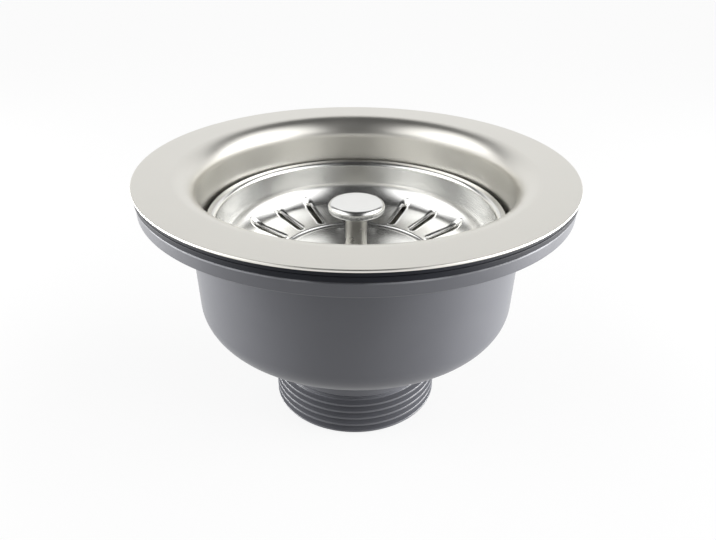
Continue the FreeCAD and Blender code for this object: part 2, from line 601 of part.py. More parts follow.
# Washer and nut that hold the post to the basket
turned_piece("stem_washer", ring_corners(SPIGOT_HOLE, "stem_washer_diameter / 2", NUT_TOP, CROWN_UNDER))
nut_blank = doc.addObject("Part::Prism", "nut_blank")
nut_blank.Polygon = 6
nut_blank.setExpression("Circumradius", bound("nut_width / sqrt(3)"))
nut_blank.setExpression("Height", bound("nut_height"))
nut_blank.setExpression("Placement.Base.z", bound(NUT_BOTTOM))
nut_hole = doc.addObject("Part::Cylinder", "nut_hole")
nut_hole.setExpression("Radius", bound("spigot_diameter / 2 + thread_clearance"))
nut_hole.setExpression("Height", bound("nut_height + 2 * cut_overrun"))
nut_hole.setExpression("Placement.Base.z", bound(NUT_BOTTOM + " - cut_overrun"))
nut = doc.addObject("Part::Cut", "stem_nut")
nut.Label = "stem_nut"
nut.Base = nut_blank
nut.Tool = nut_hole
pieces.append(nut)

# Stopper carrier: a grooved disc with a hub that turns on the spigot and a split peg under it
groove = "(" + CARRIER + " - carrier_groove_depth)"
carrier = turned_piece("stopper_carrier", [
    (POCKET, CARRIER_TOP),
    (CARRIER, CARRIER_TOP),
    (CARRIER, SEAL_TOP + " + seal_clearance"),
    (groove, SEAL_TOP + " + seal_clearance"),
    (groove, SEAL_BOTTOM + " - seal_clearance"),
    (CARRIER, SEAL_BOTTOM + " - seal_clearance"),
    (CARRIER, CARRIER_BOTTOM),
    ("hub_diameter / 2", CARRIER_BOTTOM),
    ("hub_diameter / 2", HUB_BOTTOM),
    ("peg_diameter / 2", HUB_BOTTOM),
    ("peg_diameter / 2", PEG_END),
    ("peg_bore_diameter / 2", PEG_END),
    ("peg_bore_diameter / 2", SWIVEL_END),
    (SPIGOT + " + swivel_clearance", SWIVEL_END),
    (SPIGOT + " + swivel_clearance", POCKET_FLOOR),
    (POCKET, POCKET_FLOOR),
])
soften(carrier, "carrier_edges", "carrier_rounding", [(CARRIER, CARRIER_TOP),
                                                      (CARRIER, CARRIER_BOTTOM)])
soften(carrier, "peg_tip", "peg_chamfer", [("peg_diameter / 2", PEG_END)], "PartDesign::Chamfer")
peg_slot = outline(carrier, "peg_slot_outline", "XZ_Plane", [
    ("-peg_slot_width / 2", PEG_END + " - cut_overrun"),
    ("peg_slot_width / 2", PEG_END + " - cut_overrun"),
    ("peg_slot_width / 2", PEG_END + " + peg_slot_length"),
    ("-peg_slot_width / 2", PEG_END + " + peg_slot_length"),
])
repeat(carrier, [cut(carrier, peg_slot, "peg_slot", True)], "peg_slots", 2, 90)

# Seal: a flat rubber ring sprung into the groove of the carrier
seal = turned_piece("stopper_seal", ring_corners(groove + " + seal_clearance", SEAL, SEAL_BOTTOM, SEAL_TOP))
soften(seal, "seal_lip", "seal_rounding", [(SEAL, SEAL_BOTTOM), (SEAL, SEAL_TOP)])

# Small screw and washer up the hollow peg, which keep the carrier on the spigot
washer_under = "(" + SPIGOT_END + " - retaining_washer_thickness)"
head_end = "(" + washer_under + " - retaining_head_height)"
turned_piece("retaining_washer", ring_corners("retaining_screw_diameter / 2 + thread_clearance",
                                              "retaining_washer_diameter / 2", washer_under, SPIGOT_END))
small = turned_piece("retaining_screw", [
    ("0", washer_under + " + retaining_screw_length"),
    ("retaining_screw_diameter / 2", washer_under + " + retaining_screw_length"),
    ("retaining_screw_diameter / 2", washer_under),
    ("retaining_head_diameter / 2", washer_under),
    ("retaining_head_diameter / 2", head_end),
    ("0", head_end),
])
soften(small, "small_head", "retaining_head_rounding", [("retaining_head_diameter / 2", head_end)])
small_slot = outline(small, "small_slot_outline", "XZ_Plane", [
    ("-retaining_drive_width / 2", head_end + " - cut_overrun"),
    ("retaining_drive_width / 2", head_end + " - cut_overrun"),
    ("retaining_drive_width / 2", head_end + " + retaining_drive_depth"),
    ("-retaining_drive_width / 2", head_end + " + retaining_drive_depth"),
])
cut(small, small_slot, "small_slot", True)

# Everything must have come out whole before any file is written
doc.recompute()
for thing in doc.Objects:
    if "Invalid" in thing.State or "Error" in thing.State:
        raise RuntimeError("%s did not build" % thing.Label)
for piece in pieces:
    if piece.Shape.isNull() or not piece.Shape.isValid() or len(piece.Shape.Solids) != 1:
        raise RuntimeError("%s is not one sound solid" % piece.Label)
os.makedirs("parts", exist_ok=True)
for piece in pieces:
    piece.Shape.exportStep("parts/%s.step" % piece.Label)
    print("%-18s %10.1f mm3" % (piece.Label, piece.Shape.Volume))
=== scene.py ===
import bmesh
import bpy
import math
from mathutils import Matrix, Vector


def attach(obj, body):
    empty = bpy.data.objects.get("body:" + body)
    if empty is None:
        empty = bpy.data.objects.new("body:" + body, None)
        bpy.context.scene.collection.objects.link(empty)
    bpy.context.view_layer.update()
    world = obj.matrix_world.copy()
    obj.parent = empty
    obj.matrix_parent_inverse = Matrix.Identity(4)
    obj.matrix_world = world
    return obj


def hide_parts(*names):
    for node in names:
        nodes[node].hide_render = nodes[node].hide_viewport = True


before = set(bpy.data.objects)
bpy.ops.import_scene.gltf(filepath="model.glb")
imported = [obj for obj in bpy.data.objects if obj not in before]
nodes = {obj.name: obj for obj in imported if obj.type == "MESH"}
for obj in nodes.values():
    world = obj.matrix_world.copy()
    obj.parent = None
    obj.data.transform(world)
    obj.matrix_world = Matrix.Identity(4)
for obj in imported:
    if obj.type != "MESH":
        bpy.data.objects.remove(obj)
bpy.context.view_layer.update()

# Plastic body: the grey bowl that hangs under the sink, with its clamping flange and threaded outlet.
# Injection-moulded polypropylene in one piece; three spokes inside the outlet carry the screw boss.
# The steel bowl sits in it, and the centre screw pulls the two together through the sink floor.
MM = 0.001
AXIS_STEPS, SMALL_STEPS = 192, 96
TOUCHING = 1e-7
MERGE = 0.002 * MM
CRISP_ANGLE = 32


def pick(kind, wanted):
    """Selects the corners or edges of the open mesh whose middle is wanted."""
    bpy.ops.mesh.select_mode(type=kind)
    bpy.ops.mesh.select_all(action="DESELECT")
    mesh = bmesh.from_edit_mesh(bpy.context.object.data)
    for part in {"VERT": mesh.verts, "EDGE": mesh.edges}[kind]:
        corners = [part] if kind == "VERT" else part.verts
        if wanted(sum((corner.co for corner in corners), Vector()) / len(corners)):
            part.select_set(True)
    bmesh.update_edit_mesh(bpy.context.object.data)


def draw_section(name, section, closed=True, arc=7):
    """Draws a section of radius, height and rounding in millimetres, and leaves it open for editing."""
    bpy.ops.object.select_all(action="DESELECT")
    bpy.ops.mesh.primitive_plane_add(size=MM)
    piece = bpy.context.object
    piece.name = piece.data.name = name
    corners = [Vector((radius * MM, 0, height * MM)) for radius, height, rounding in section]
    bpy.ops.object.mode_set(mode="EDIT")
    bpy.ops.mesh.select_mode(type="VERT")
    bpy.ops.mesh.merge(type="CENTER")
    bpy.ops.transform.translate(value=corners[0])
    for here, there in zip(corners, corners[1:]):
        bpy.ops.mesh.extrude_region_move(TRANSFORM_OT_translate={"value": there - here})
    if closed:
        pick("VERT", lambda at: min((at - corners[0]).length, (at - corners[-1]).length) < TOUCHING)
        bpy.ops.mesh.edge_face_add()
    for index, (radius, height, rounding) in enumerate(section):
        if rounding:
            corner = corners[index]
            following = corners[(index + 1) % len(corners)]
            turn = math.pi - (corners[index - 1] - corner).angle(following - corner)
            pick("VERT", lambda at: (at - corner).length < TOUCHING)
            bpy.ops.mesh.bevel(offset=rounding * MM * math.tan(turn / 2), affect="VERTICES",
                               segments=max(3, math.ceil(math.degrees(turn) / arc)), profile=0.5)
    return piece


def face_outwards():
    """Turns the faces of the open mesh outwards and ends its editing."""
    bpy.ops.mesh.select_all(action="SELECT")
    bpy.ops.mesh.normals_make_consistent(inside=False)
    bpy.ops.object.mode_set(mode="OBJECT")


def spin_round(steps=AXIS_STEPS):
    """Spins the open section once round the axis and closes its seam."""
    bpy.ops.mesh.select_all(action="SELECT")
    bpy.ops.mesh.spin(steps=steps, angle=math.tau, center=(0, 0, 0), axis=(0, 0, 1))
    bpy.ops.mesh.select_all(action="SELECT")
    bpy.ops.mesh.remove_doubles(threshold=MERGE)
    face_outwards()


def soft_shade(piece):
    """Smooths the round faces, keeps the flats flat and leaves crisp edges crisp."""
    bpy.ops.object.select_all(action="DESELECT")
    piece.select_set(True)
    bpy.context.view_layer.objects.active = piece
    bpy.ops.object.shade_smooth_by_angle(angle=math.radians(CRISP_ANGLE))
    bpy.ops.object.modifier_add(type="WEIGHTED_NORMAL")
    piece.modifiers[-1].keep_sharp = True
    bpy.ops.object.modifier_apply(modifier=piece.modifiers[-1].name)


def join(piece, others):
    """Joins the other meshes into the piece."""
    bpy.ops.object.select_all(action="DESELECT")
    for other in others:
        other.select_set(True)
    piece.select_set(True)
    bpy.context.view_layer.objects.active = piece
    bpy.ops.object.join()


def bridge_open_edges(piece, low, high):
    """Bridges the open edges of the piece that lie between two heights in millimetres."""
    bpy.ops.mesh.select_mode(type="EDGE")
    bpy.ops.mesh.select_all(action="DESELECT")
    mesh = bmesh.from_edit_mesh(piece.data)
    for edge in mesh.edges:
        if edge.is_boundary and all(low * MM < corner.co.z < high * MM for corner in edge.verts):
            edge.select_set(True)
    bmesh.update_edit_mesh(piece.data)
    bpy.ops.mesh.bridge_edge_loops()


body = draw_section("body_bowl", [
    (22.5, 12.9, 0), (22.5, 13.4, 0.2), (23.9, 13.4, 0.35), (23.9, 27.2, 1.2), (43.4, 27.2, 8.4),
    (44.5, 64.4, 0.8), (56.3, 64.4, 0.4), (56.3, 67.9, 0.5), (42.8, 67.9, 3.0), (41.7, 29.2, 6.7),
    (19.9, 29.2, 0.8), (19.9, 0.0, 0),
], closed=False)
spin_round()

# The outlet carries a right-handed pipe thread of 11 turns to the inch, moulded with broad soft crests
PITCH = 25.4 / 11
CREST_RADIUS, ROOT_RADIUS = 23.9, 22.5
CREST_ROUND, ROOT_ROUND = 0.25, 0.2
HALF_FLAT = 0.13 * PITCH
CREST_AT_FRONT = 12.4
TURNS, TURNS_BELOW_CREST = 12, 8
THREAD_TOP = 12.3
CUT_MERGE = 1e-8
first = CREST_AT_FRONT + PITCH / 4 - TURNS_BELOW_CREST * PITCH
thread = draw_section("outlet_thread", [
    (ROOT_RADIUS, first - PITCH / 2, 0),
    (ROOT_RADIUS, first - PITCH / 2 + HALF_FLAT, ROOT_ROUND),
    (CREST_RADIUS, first - HALF_FLAT, CREST_ROUND),
    (CREST_RADIUS, first + HALF_FLAT, CREST_ROUND),
    (ROOT_RADIUS, first + PITCH / 2 - HALF_FLAT, ROOT_ROUND),
    (ROOT_RADIUS, first + PITCH / 2, 0),
], closed=False)
bpy.ops.object.mode_set(mode="OBJECT")
bpy.ops.object.modifier_add(type="SCREW")
helix = thread.modifiers[-1]
helix.axis = "Z"
helix.angle = math.tau
helix.screw_offset = PITCH * MM
helix.iterations = TURNS
helix.steps = helix.render_steps = AXIS_STEPS
bpy.ops.object.modifier_apply(modifier=helix.name)
bpy.ops.object.mode_set(mode="EDIT")
bpy.ops.mesh.select_all(action="SELECT")
bpy.ops.mesh.remove_doubles(threshold=MERGE)
bpy.ops.mesh.select_all(action="SELECT")
bpy.ops.mesh.bisect(plane_co=(0, 0, THREAD_TOP * MM), plane_no=(0, 0, 1), clear_outer=True,
                    threshold=CUT_MERGE)
bpy.ops.mesh.select_all(action="SELECT")
bpy.ops.mesh.bisect(plane_co=(0, 0, 0), plane_no=(0, 0, 1), clear_inner=True, threshold=CUT_MERGE)
bpy.ops.object.mode_set(mode="OBJECT")
join(body, [thread])
END_FACE, GROOVE = (-0.01, 0.01), (12.2, 13.0)
bpy.ops.object.mode_set(mode="EDIT")
for low, high in (END_FACE, GROOVE):
    bridge_open_edges(body, low, high)
# The thread starts with a short lead-in and runs out into the groove under the collar
LEAD_DEPTH, LEAD_RISE, RUN_OUT = 0.64, 0.6, 1.2
GROOVE_MIDDLE = 12.8
mesh = bmesh.from_edit_mesh(body.data)
for corner in mesh.verts:
    radius = math.hypot(corner.co.x, corner.co.y) / MM
    height = corner.co.z / MM
    if height < GROOVE_MIDDLE and radius > ROOT_RADIUS:
        fade = max(0, min(1, LEAD_DEPTH + LEAD_RISE * height, (THREAD_TOP - height) / RUN_OUT))
        squeeze = (ROOT_RADIUS + (radius - ROOT_RADIUS) * fade) / radius
        corner.co.x *= squeeze
        corner.co.y *= squeeze
bmesh.update_edit_mesh(body.data)
face_outwards()

# The screw boss hangs in the outlet on three flat spokes with rounded edges
SPOKES = 3
SPOKE_LENGTH, SPOKE_WIDTH, SPOKE_HEIGHT = 12.2, 3.0, 9.0
SPOKE_RADIUS, SPOKE_LEVEL = 15.75, 24.7
SPOKE_ROUND = 0.6
boss = draw_section("screw_boss", [
    (6.3, 29.7, 0.2), (10.8, 29.7, 0.5), (10.8, 13.7, 0.5), (8.53, 13.7, 0.2), (8.53, 28.0, 0), (6.3, 28.0, 0),
])
spin_round(SMALL_STEPS)
bpy.ops.object.select_all(action="DESELECT")
bpy.ops.mesh.primitive_cube_add(size=MM, location=(SPOKE_RADIUS * MM, 0, SPOKE_LEVEL * MM))
spokes = bpy.context.object
bpy.ops.object.mode_set(mode="EDIT")
bpy.ops.transform.resize(value=(SPOKE_LENGTH, SPOKE_WIDTH, SPOKE_HEIGHT))
pick("EDGE", lambda at: abs(at.y) > 0.45 * SPOKE_WIDTH * MM and abs(at.z) > 0.45 * SPOKE_HEIGHT * MM)
bpy.ops.mesh.bevel(offset=SPOKE_ROUND * MM, segments=4, affect="EDGES")
bpy.ops.object.mode_set(mode="OBJECT")
bpy.ops.object.transform_apply(location=True, rotation=False, scale=False)


def set_round(piece, count, first=0):
    """Sets copies of the piece evenly round the axis, from an angle in degrees, and joins them to it."""
    copies = []
    for turn in range(1, count):
        copy = piece.copy()
        copy.data = piece.data.copy()
        bpy.context.collection.objects.link(copy)
        copy.data.transform(Matrix.Rotation(math.radians(first) + turn * math.tau / count, 4, "Z"))
        copies.append(copy)
    piece.data.transform(Matrix.Rotation(math.radians(first), 4, "Z"))
    join(piece, copies)


set_round(spokes, SPOKES)
join(body, [boss, spokes])
soft_shade(body)


def linear(code):
    """Turns an sRGB hex colour into linear light."""
    parts = [int(code[at:at + 2], 16) / 255 for at in (1, 3, 5)]
    return tuple(c / 12.92 if c <= 0.04045 else ((c + 0.055) / 1.055) ** 2.4 for c in parts) + (1.0,)


def new_finish(name):
    """An empty material and its node tree."""
    finish = bpy.data.materials.new(name)
    finish.use_nodes = True
    finish.node_tree.nodes.clear()
    return finish, finish.node_tree


def add(tree, kind, settings, links=()):
    """Adds a node, gives it its settings and links its inputs to other nodes' outputs."""
    node = tree.nodes.new(kind)
    for key, value in settings.items():
        if isinstance(key, int) or key in node.inputs:
            node.inputs[key].default_value = value
        else:
            setattr(node, key, value)
    for key, socket in dict(links).items():
        tree.links.new(socket, node.inputs[key])
    return node


def per_mm(size):
    """Noise scale whose grains are about the given size in millimetres."""
    return 1 / (size * MM)


# Moulded polypropylene: waxy mid-grey with a soft sheen, faint flow clouds and a fine eroded mould texture.
# The flange's upper edge, where the mould parts, is rougher, and a highlight is painted on it as a pale band,
# broken into scuffed patches.
CLOUD, GRAIN, GRAIN_DEPTH = 14, 0.5, 0.03
EDGE_FROM, EDGE_TO = 67.3, 67.6
polypropylene, tree = new_finish("moulded_grey_polypropylene")
place = add(tree, "ShaderNodeTexCoord", {})
clouds = add(tree, "ShaderNodeTexNoise", {"Scale": per_mm(CLOUD), "Detail": 3.0},
             {"Vector": place.outputs["Object"]})
grey = add(tree, "ShaderNodeMix", {"data_type": "RGBA", 6: linear("#505156"), 7: linear("#595a5f")},
           {0: clouds.outputs["Fac"]})
level = add(tree, "ShaderNodeSeparateXYZ", {}, {"Vector": place.outputs["Object"]})
upper_edge = add(tree, "ShaderNodeMapRange", {"From Min": EDGE_FROM * MM, "From Max": EDGE_TO * MM},
                 {"Value": level.outputs["Z"]})
scuff = add(tree, "ShaderNodeMapRange", {"From Min": 0.42, "From Max": 0.58}, {"Value": clouds.outputs["Fac"]})
# Painted highlight: a pale band along the flange's upper edge, broken into scuffed patches by the clouds
painted_edge_highlight = add(tree, "ShaderNodeMath", {"operation": "MULTIPLY"},
             {0: upper_edge.outputs[0], 1: scuff.outputs[0]})
tint = add(tree, "ShaderNodeMix", {"data_type": "RGBA", 7: linear("#8e8f94")},
           {0: painted_edge_highlight.outputs[0], 6: grey.outputs[2]})
grain = add(tree, "ShaderNodeTexNoise", {"Scale": per_mm(GRAIN), "Detail": 2.0},
            {"Vector": place.outputs["Object"]})
gloss = add(tree, "ShaderNodeMapRange", {"To Min": 0.3, "To Max": 0.4}, {"Value": clouds.outputs["Fac"]})
polish = add(tree, "ShaderNodeMath", {"operation": "MULTIPLY_ADD", 1: 0.35},
             {0: upper_edge.outputs[0], 2: gloss.outputs[0]})
relief = add(tree, "ShaderNodeBump", {"Strength": 0.25, "Distance": GRAIN_DEPTH * MM},
             {"Height": grain.outputs["Fac"]})
shader = add(tree, "ShaderNodeBsdfPrincipled", {"IOR": 1.49},
             {"Base Color": tint.outputs[2], "Roughness": polish.outputs[0], "Normal": relief.outputs[0]})
add(tree, "ShaderNodeOutputMaterial", {}, {"Surface": shader.outputs[0]})


def dress(piece, finish):
    """Gives the piece its one finish."""
    piece.data.materials.clear()
    piece.data.materials.append(finish)


dress(body, polypropylene)
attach(body, "waste")
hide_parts("waste_body")

# Threaded insert: a turned brass bush with a grip groove, pressed up into the boss from below.
# The centre screw runs in it, and it shows only from under the outlet.
# Turned brass: yellow, half bright, with brown tarnish in patches
TARNISH = 5
brass, tree = new_finish("turned_brass")
place = add(tree, "ShaderNodeTexCoord", {})
tarnish = add(tree, "ShaderNodeTexNoise", {"Scale": per_mm(TARNISH), "Detail": 4.0},
              {"Vector": place.outputs["Object"]})
tint = add(tree, "ShaderNodeMix", {"data_type": "RGBA", 6: linear("#b8954e"), 7: linear("#d1b062")},
           {0: tarnish.outputs["Fac"]})
polish = add(tree, "ShaderNodeMapRange", {"To Min": 0.22, "To Max": 0.36}, {"Value": tarnish.outputs["Fac"]})
shader = add(tree, "ShaderNodeBsdfPrincipled", {"Metallic": 1.0},
             {"Base Color": tint.outputs[2], "Roughness": polish.outputs[0]})
add(tree, "ShaderNodeOutputMaterial", {}, {"Surface": shader.outputs[0]})
dress(nodes["threaded_insert"], brass)

# Rubber rings: a thin one above the sink and a thicker one below, both black moulded rubber.
# They lie on each other here, as the part is sold, and a faint seam runs between them.
upper_ring = draw_section("upper_rubber_ring", [
    (48.0, 70.3, 0), (56.6, 70.3, 0), (56.6, 69.3, 0.3), (48.0, 69.3, 0),
])
spin_round()
lower_ring = draw_section("lower_rubber_ring", [
    (48.0, 69.3, 0), (56.6, 69.3, 0.3), (56.6, 67.9, 0.3), (48.0, 67.9, 0),
])
spin_round()
# Moulded rubber: near black and dull, with a grey bloom in patches and a very fine cloth-like grain
BLOOM, RUBBER_GRAIN, RUBBER_DEPTH = 7, 0.4, 0.04
rubber, tree = new_finish("black_moulded_rubber")
place = add(tree, "ShaderNodeTexCoord", {})
bloom = add(tree, "ShaderNodeTexNoise", {"Scale": per_mm(BLOOM), "Detail": 5.0},
            {"Vector": place.outputs["Object"]})
tint = add(tree, "ShaderNodeMix", {"data_type": "RGBA", 6: linear("#131419"), 7: linear("#1f2128")},
           {0: bloom.outputs["Fac"]})
grain = add(tree, "ShaderNodeTexNoise", {"Scale": per_mm(RUBBER_GRAIN), "Detail": 2.0},
            {"Vector": place.outputs["Object"]})
polish = add(tree, "ShaderNodeMapRange", {"To Min": 0.5, "To Max": 0.68}, {"Value": bloom.outputs["Fac"]})
relief = add(tree, "ShaderNodeBump", {"Strength": 0.4, "Distance": RUBBER_DEPTH * MM},
             {"Height": grain.outputs["Fac"]})
shader = add(tree, "ShaderNodeBsdfPrincipled", {"IOR": 1.5, "Specular IOR Level": 0.16},
             {"Base Color": tint.outputs[2], "Roughness": polish.outputs[0], "Normal": relief.outputs[0]})
add(tree, "ShaderNodeOutputMaterial", {}, {"Surface": shader.outputs[0]})
for ring, node in ((upper_ring, "upper_gasket"), (lower_ring, "lower_gasket")):
    soft_shade(ring)
    dress(ring, rubber)
    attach(ring, "waste")
    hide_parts(node)

# Rim and bowl: one deep-drawn sheet of stainless steel, satin finished, 0.7 mm thick.
# The rim lies on the sink, the wall rolls down to a cone and a seat, and the well below is pierced
# with six drain holes and one hole for the centre screw.
RIM_STEPS = 240
DRAINS, FIRST_DRAIN = 6, 30
DRAIN_RADIUS, DRAIN_CIRCLE = 4.2, 15.35
PUNCH_LEVEL, PUNCH_DEPTH, PUNCH_STEPS = 30, 4, 48
rim = draw_section("rim_and_bowl", [
    (56.99, 71.0, 0.3), (41.8, 71.0, 6.0), (40.6, 41.9, 6.0), (26.0, 38.9, 1.2), (24.5, 30.4, 2.0),
    (6.3, 30.4, 0.15), (6.3, 29.7, 0.15), (25.2, 29.7, 2.7), (26.7, 38.2, 0.5), (41.3, 41.2, 6.7),
    (42.5, 70.3, 5.3), (56.99, 70.3, 0.3),
])
spin_round(RIM_STEPS)
bpy.ops.object.select_all(action="DESELECT")
bpy.ops.mesh.primitive_cylinder_add(vertices=PUNCH_STEPS, radius=DRAIN_RADIUS * MM, depth=PUNCH_DEPTH * MM,
                                    location=(DRAIN_CIRCLE * MM, 0, PUNCH_LEVEL * MM))
drains = bpy.context.object
bpy.ops.object.transform_apply(location=True, rotation=False, scale=False)
set_round(drains, DRAINS, first=FIRST_DRAIN)


def cut_away(piece, cutter):
    """Cuts the cutter's shape out of the piece and throws the cutter away."""
    bpy.ops.object.select_all(action="DESELECT")
    piece.select_set(True)
    bpy.context.view_layer.objects.active = piece
    bpy.ops.object.modifier_add(type="BOOLEAN")
    piece.modifiers[-1].operation = "DIFFERENCE"
    piece.modifiers[-1].solver = "EXACT"
    piece.modifiers[-1].object = cutter
    bpy.ops.object.modifier_apply(modifier=piece.modifiers[-1].name)
    bpy.data.objects.remove(cutter)


cut_away(rim, drains)
soft_shade(rim)
# Satin stainless: warm pale grey, its fine round-and-round polish lines a little coarser than the real
# ones so that they show, with cloudy patches where the sheet was drawn
LINE, LINE_DEPTH, PATCH = 0.35, 0.01, 9
satin_steel, tree = new_finish("satin_drawn_stainless_steel")
place = add(tree, "ShaderNodeTexCoord", {})
flat = add(tree, "ShaderNodeVectorMath", {"operation": "MULTIPLY", 1: (1, 1, 0)}, {0: place.outputs["Object"]})
reach = add(tree, "ShaderNodeVectorMath", {"operation": "LENGTH"}, {0: flat.outputs[0]})
level = add(tree, "ShaderNodeSeparateXYZ", {}, {"Vector": place.outputs["Object"]})
along = add(tree, "ShaderNodeCombineXYZ", {}, {"X": reach.outputs["Value"], "Y": level.outputs["Z"]})
lines = add(tree, "ShaderNodeTexNoise", {"Scale": per_mm(LINE), "Detail": 2.0}, {"Vector": along.outputs[0]})
clouds = add(tree, "ShaderNodeTexNoise", {"Scale": per_mm(PATCH), "Detail": 4.0},
             {"Vector": place.outputs["Object"]})
tint = add(tree, "ShaderNodeMix", {"data_type": "RGBA", 6: linear("#e0ded7"), 7: linear("#e6e4de")},
           {0: clouds.outputs["Fac"]})
both = add(tree, "ShaderNodeMath", {"operation": "MULTIPLY_ADD", 1: 0.4},
           {0: lines.outputs["Fac"], 2: clouds.outputs["Fac"]})
polish = add(tree, "ShaderNodeMapRange", {"From Max": 1.4, "To Min": 0.28, "To Max": 0.4},
             {"Value": both.outputs[0]})
relief = add(tree, "ShaderNodeBump", {"Strength": 0.12, "Distance": LINE_DEPTH * MM},
             {"Height": lines.outputs["Fac"]})
shader = add(tree, "ShaderNodeBsdfPrincipled", {"Metallic": 1.0},
             {"Base Color": tint.outputs[2], "Roughness": polish.outputs[0], "Normal": relief.outputs[0]})
add(tree, "ShaderNodeOutputMaterial", {}, {"Surface": shader.outputs[0]})
dress(rim, satin_steel)
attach(rim, "waste")
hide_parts("sink_flange")

# Centre screw with its washer: a bored stainless screw with a slotted head in the well.
# It clamps the bowl, rings, sink and body together, and its bore takes the stopper's peg.
# Plain turned stainless: a duller grey than the bowl, with small patches of wear
WEAR = 3
plain_steel, tree = new_finish("plain_turned_stainless_steel")
place = add(tree, "ShaderNodeTexCoord", {})
wear = add(tree, "ShaderNodeTexNoise", {"Scale": per_mm(WEAR), "Detail": 5.0},
           {"Vector": place.outputs["Object"]})
tint = add(tree, "ShaderNodeMix", {"data_type": "RGBA", 6: linear("#b4b2ac"), 7: linear("#cac8c2")},
           {0: wear.outputs["Fac"]})
polish = add(tree, "ShaderNodeMapRange", {"To Min": 0.2, "To Max": 0.38}, {"Value": wear.outputs["Fac"]})
shader = add(tree, "ShaderNodeBsdfPrincipled", {"Metallic": 1.0},
             {"Base Color": tint.outputs[2], "Roughness": polish.outputs[0]})
add(tree, "ShaderNodeOutputMaterial", {}, {"Surface": shader.outputs[0]})
for node in ("hollow_screw", "screw_washer"):
    dress(nodes[node], plain_steel)

# Stopper: a white moulded carrier with a split catch peg, and a black rubber seal sprung into its groove.
# It hangs on the post under the basket, and closes on the seat when the basket is pushed down.
# Moulded acetal: milky white and slippery, with a low even sheen
MILK = 8
acetal, tree = new_finish("white_moulded_acetal")
place = add(tree, "ShaderNodeTexCoord", {})
clouds = add(tree, "ShaderNodeTexNoise", {"Scale": per_mm(MILK), "Detail": 3.0},
             {"Vector": place.outputs["Object"]})
tint = add(tree, "ShaderNodeMix", {"data_type": "RGBA", 6: linear("#cbc9c1"), 7: linear("#d7d6d0")},
           {0: clouds.outputs["Fac"]})
polish = add(tree, "ShaderNodeMapRange", {"To Min": 0.3, "To Max": 0.42}, {"Value": clouds.outputs["Fac"]})
shader = add(tree, "ShaderNodeBsdfPrincipled", {"IOR": 1.48},
             {"Base Color": tint.outputs[2], "Roughness": polish.outputs[0]})
add(tree, "ShaderNodeOutputMaterial", {}, {"Surface": shader.outputs[0]})
dress(nodes["stopper_carrier"], acetal)
dress(nodes["stopper_seal"], rubber)

# Basket: a dish drawn from 0.6 mm stainless sheet and polished, with a flat lip and a domed crown.
# Twenty radial slots are pierced in its floor, and their edges are drawn down into short rolled collars.
BASKET_STEPS, BASKET_ARC = 320, 4
FLOOR_FROM, FLOOR_TO, FLOOR_CUTS = 24, 30, 18
basket = draw_section("slotted_basket", [
    (40.2, 58.3, 0.25), (37.7, 58.3, 1.4), (36.6, 47.1, 7.0), (22.1, 44.4, 0.8), (21.3, 43.7, 1.6),
    (5.8, 45.4, 0.6), (2.6, 45.4, 0), (2.6, 44.8, 0), (5.8, 44.8, 0.6), (21.3, 43.1, 1.9),
    (22.3, 43.8, 0.2), (37.2, 46.5, 7.6), (38.3, 57.7, 0.8), (40.2, 57.7, 0.25),
], arc=BASKET_ARC)
pick("EDGE", lambda at: FLOOR_FROM * MM < at.x < FLOOR_TO * MM)
bpy.ops.mesh.subdivide(number_cuts=FLOOR_CUTS)
spin_round(BASKET_STEPS)
SLOTS, FIRST_SLOT = 20, 9
SLOT_INNER, SLOT_OUTER, SLOT_HALF = 23.65, 34.3, 0.65
SLOT_END_STEPS, SLOT_SIDE_CUTS = 34, 14
ABOVE_BASKET = 60


def slot_rings(name, steps, fill):
    """Draws a round-ended slot ring by ring, each ring let out and lifted off the basket's floor by its step."""
    bpy.ops.object.select_all(action="DESELECT")
    bpy.ops.mesh.primitive_circle_add(vertices=SLOT_END_STEPS, radius=SLOT_HALF * MM, fill_type=fill)
    slot = bpy.context.object
    slot.name = name
    length = (SLOT_OUTER - SLOT_INNER - 2 * SLOT_HALF) * MM
    bpy.ops.object.mode_set(mode="EDIT")
    pick("VERT", lambda at: at.x > 0)
    bpy.ops.transform.translate(value=(length, 0, 0))
    pick("EDGE", lambda at: abs(at.x - length / 2) < MM)
    bpy.ops.mesh.subdivide(number_cuts=SLOT_SIDE_CUTS)
    bpy.ops.mesh.select_all(action="SELECT")
    for ring in steps[1:]:
        bpy.ops.mesh.extrude_region_move(TRANSFORM_OT_translate={"value": (0, 0, -MM)})
    mesh = bmesh.from_edit_mesh(slot.data)
    for corner in mesh.verts:
        out, lift = steps[round(-corner.co.z / MM)]
        middle = Vector((min(max(corner.co.x, 0), length), 0, 0))
        away = Vector((corner.co.x, corner.co.y, 0)) - middle
        spot = middle + away.normalized() * (SLOT_HALF + out) * MM
        spot.x += (SLOT_INNER + SLOT_HALF) * MM
        floor = basket.ray_cast(spot + Vector((0, 0, ABOVE_BASKET * MM)), (0, 0, -1))[1]
        corner.co = floor + Vector((0, 0, lift * MM))
    bmesh.update_edit_mesh(slot.data)
    return slot


# The drawn-down edge of a slot turns over from the floor into a short collar
COLLAR_FROM, COLLAR_TO = 40, 50
collar = slot_rings("slot_collars", [
    (1.3, -0.06), (1.22, 0.012), (0.95, 0.0), (0.7, -0.06), (0.48, -0.17), (0.29, -0.32), (0.14, -0.52),
    (0.04, -0.76), (0.0, -1.05), (0.0, -1.5), (0.4, -1.5), (0.45, -0.95), (1.3, -0.5),
], "NOTHING")
bridge_open_edges(collar, COLLAR_FROM, COLLAR_TO)
face_outwards()
punch = slot_rings("slot_punch", [(1.0, 3.0), (1.0, -3.0)], "NGON")
face_outwards()
set_round(collar, SLOTS, first=FIRST_SLOT)
set_round(punch, SLOTS, first=FIRST_SLOT)
cut_away(basket, punch)
join(basket, [collar])
soft_shade(basket)
